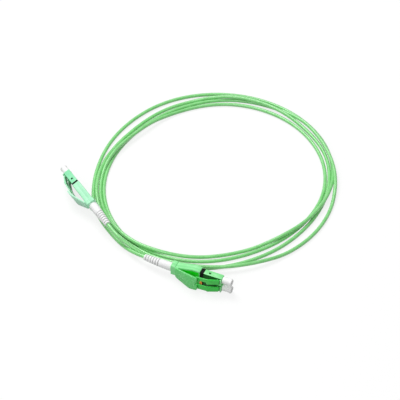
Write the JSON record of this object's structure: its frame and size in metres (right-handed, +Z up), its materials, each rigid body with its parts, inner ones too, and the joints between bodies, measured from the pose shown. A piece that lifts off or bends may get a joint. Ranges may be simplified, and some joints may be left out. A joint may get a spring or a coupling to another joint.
{
  "type": "fiber optic patch cord",
  "caption": "Coiled duplex fiber patch cord with a green round cable, white ribbed boots and a green double plug with push lever and dust caps on each end.",
  "frame": {"origin": "on the table, under the middle of the two plugs' floor plan (the plugs without the cable)", "axes": "+Z up from the table; the loops' middle lies towards +X and +Y from the origin; the first plug points along +X and a little -Y, the second along +Y and a little -X"},
  "size_m": [0.1787, 0.1889, 0.0148],
  "materials": {
    "housing_green": "satin",
    "lever_green": "fine texture",
    "plug_green": "gloss",
    "cable_jacket": "satin",
    "boot_white": "matte",
    "cap_white": "translucent white",
    "ferrule_ceramic": "polished",
    "post_black": "satin",
    "steel": "satin",
    "fibre_white": "satin"
  },
  "bodies": {
    "root": {"cable_loops": "cable_jacket", "cable_lead_first": "cable_jacket", "cable_lead_second": "cable_jacket", "first_housing_base": "housing_green", "first_housing_cover": "housing_green", "first_crimp_sleeve": "steel", "first_boot": "boot_white", "first_plug_upper": "plug_green", "first_back_post_upper": "post_black", "first_spring_upper": "steel", "first_fibre_upper": "fibre_white", "first_plug_lower": "plug_green", "first_back_post_lower": "post_black", "first_spring_lower": "steel", "first_fibre_lower": "fibre_white", "second_housing_base": "housing_green", "second_housing_cover": "housing_green", "second_crimp_sleeve": "steel", "second_boot": "boot_white", "second_plug_upper": "plug_green", "second_back_post_upper": "post_black", "second_spring_upper": "steel", "second_fibre_upper": "fibre_white", "second_plug_lower": "plug_green", "second_back_post_lower": "post_black", "second_spring_lower": "steel", "second_fibre_lower": "fibre_white"},
    "first_lever": {"first_lever": "lever_green"},
    "first_latch_upper": {"first_latch_upper": "plug_green"},
    "first_ferrule_upper": {"first_ferrule_upper": "ferrule_ceramic", "first_flange_upper": "steel"},
    "first_dust_cap_upper": {"first_dust_cap_upper": "cap_white"},
    "first_latch_lower": {"first_latch_lower": "plug_green"},
    "first_ferrule_lower": {"first_ferrule_lower": "ferrule_ceramic", "first_flange_lower": "steel"},
    "first_dust_cap_lower": {"first_dust_cap_lower": "cap_white"},
    "second_lever": {"second_lever": "lever_green"},
    "second_latch_upper": {"second_latch_upper": "plug_green"},
    "second_ferrule_upper": {"second_ferrule_upper": "ferrule_ceramic", "second_flange_upper": "steel"},
    "second_dust_cap_upper": {"second_dust_cap_upper": "cap_white"},
    "second_latch_lower": {"second_latch_lower": "plug_green"},
    "second_ferrule_lower": {"second_ferrule_lower": "ferrule_ceramic", "second_flange_lower": "steel"},
    "second_dust_cap_lower": {"second_dust_cap_lower": "cap_white"}
  },
  "joints": [
    {"name": "first_lever_press", "type": "hinge", "parent": "root", "child": "first_lever", "pos_m": [0.02038, -0.03945, 0.0062], "axis": [0, 0, 1], "range_deg": [0, 7], "stiffness_Nm_per_rad": 0.4, "springref_deg": -1.15},
    {"name": "first_latch_upper_flex", "type": "hinge", "parent": "root", "child": "first_latch_upper", "pos_m": [0.04627, -0.05064, 0.00932], "axis": [0, 0, 1], "range_deg": [-7.91, 0]},
    {"name": "first_ferrule_upper_float", "type": "slide", "parent": "root", "child": "first_ferrule_upper", "axis": [-0.9107, 0.4131, 0], "range_m": [0, 0.0008], "stiffness_N_per_m": 1000, "springref_m": -0.0005, "deforming": ["first_spring_upper"]},
    {"name": "first_dust_cap_upper_pull", "type": "slide", "parent": "root", "child": "first_dust_cap_upper", "axis": [0.9107, -0.4131, 0], "range_m": [0, 0.008]},
    {"name": "first_latch_lower_flex", "type": "hinge", "parent": "root", "child": "first_latch_lower", "pos_m": [0.04627, -0.05064, 0.00308], "axis": [0, 0, 1], "range_deg": [-7.91, 0]},
    {"name": "first_ferrule_lower_float", "type": "slide", "parent": "root", "child": "first_ferrule_lower", "axis": [-0.9107, 0.4131, 0], "range_m": [0, 0.0008], "stiffness_N_per_m": 1000, "springref_m": -0.0005, "deforming": ["first_spring_lower"]},
    {"name": "first_dust_cap_lower_pull", "type": "slide", "parent": "root", "child": "first_dust_cap_lower", "axis": [0.9107, -0.4131, 0], "range_m": [0, 0.008]},
    {"name": "second_lever_press", "type": "hinge", "parent": "root", "child": "second_lever", "pos_m": [-0.03753, 0.01886, 0.00763], "axis": [0.3978, 0.1537, -0.9045], "range_deg": [0, 7], "stiffness_Nm_per_rad": 0.4, "springref_deg": -1.15},
    {"name": "second_latch_upper_flex", "type": "hinge", "parent": "root", "child": "second_latch_upper", "pos_m": [-0.05194, 0.04327, 0.0089], "axis": [0.3978, 0.1537, -0.9045], "range_deg": [-7.91, 0]},
    {"name": "second_ferrule_upper_float", "type": "slide", "parent": "root", "child": "second_ferrule_upper", "axis": [0.4808, -0.8746, 0.0628], "range_m": [0, 0.0008], "stiffness_N_per_m": 1000, "springref_m": -0.0005, "deforming": ["second_spring_upper"]},
    {"name": "second_dust_cap_upper_pull", "type": "slide", "parent": "root", "child": "second_dust_cap_upper", "axis": [-0.4808, 0.8746, -0.0628], "range_m": [0, 0.008]},
    {"name": "second_latch_lower_flex", "type": "hinge", "parent": "root", "child": "second_latch_lower", "pos_m": [-0.04946, 0.04423, 0.00325], "axis": [0.3978, 0.1537, -0.9045], "range_deg": [-7.91, 0]},
    {"name": "second_ferrule_lower_float", "type": "slide", "parent": "root", "child": "second_ferrule_lower", "axis": [0.4808, -0.8746, 0.0628], "range_m": [0, 0.0008], "stiffness_N_per_m": 1000, "springref_m": -0.0005, "deforming": ["second_spring_lower"]},
    {"name": "second_dust_cap_lower_pull", "type": "slide", "parent": "root", "child": "second_dust_cap_lower", "axis": [-0.4808, 0.8746, -0.0628], "range_m": [0, 0.008]}
  ],
  "couplings": [
    {"joint": "first_latch_upper_flex", "follows": "first_lever_press", "ratio": -1.0584},
    {"joint": "first_latch_lower_flex", "follows": "first_lever_press", "ratio": -1.0584},
    {"joint": "second_latch_upper_flex", "follows": "second_lever_press", "ratio": -1.0584},
    {"joint": "second_latch_lower_flex", "follows": "second_lever_press", "ratio": -1.0584}
  ]
}
